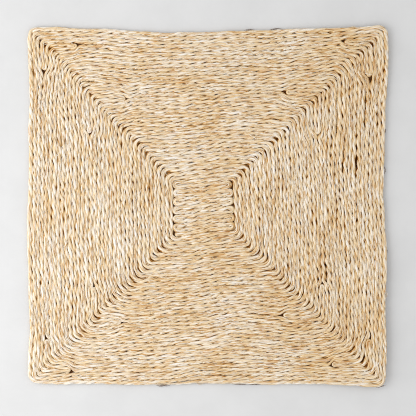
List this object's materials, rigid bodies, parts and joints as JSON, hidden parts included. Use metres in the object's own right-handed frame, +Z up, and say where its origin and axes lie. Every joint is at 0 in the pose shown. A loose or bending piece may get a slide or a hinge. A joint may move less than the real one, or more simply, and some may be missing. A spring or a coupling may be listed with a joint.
{
  "type": "woven placemat",
  "caption": "Flat, near-square placemat of twisted plant-fibre cord, laid to and fro at its middle and wound round in mitred squares; it lies on a table under a plate.",
  "frame": {"origin": "middle of the mat's box at its underside, so the mat lies on z = 0", "axes": "+X to the right and +Y away from the reader in the picture's view from above, +Z up through the thickness"},
  "size_m": [0.3838, 0.3836, 0.0046],
  "materials": {
    "straw_cord": "pale straw plant-fibre cord, matt, with brown shade between its turns"
  },
  "bodies": {
    "root": {"mat": "straw_cord"}
  },
  "joints": []
}
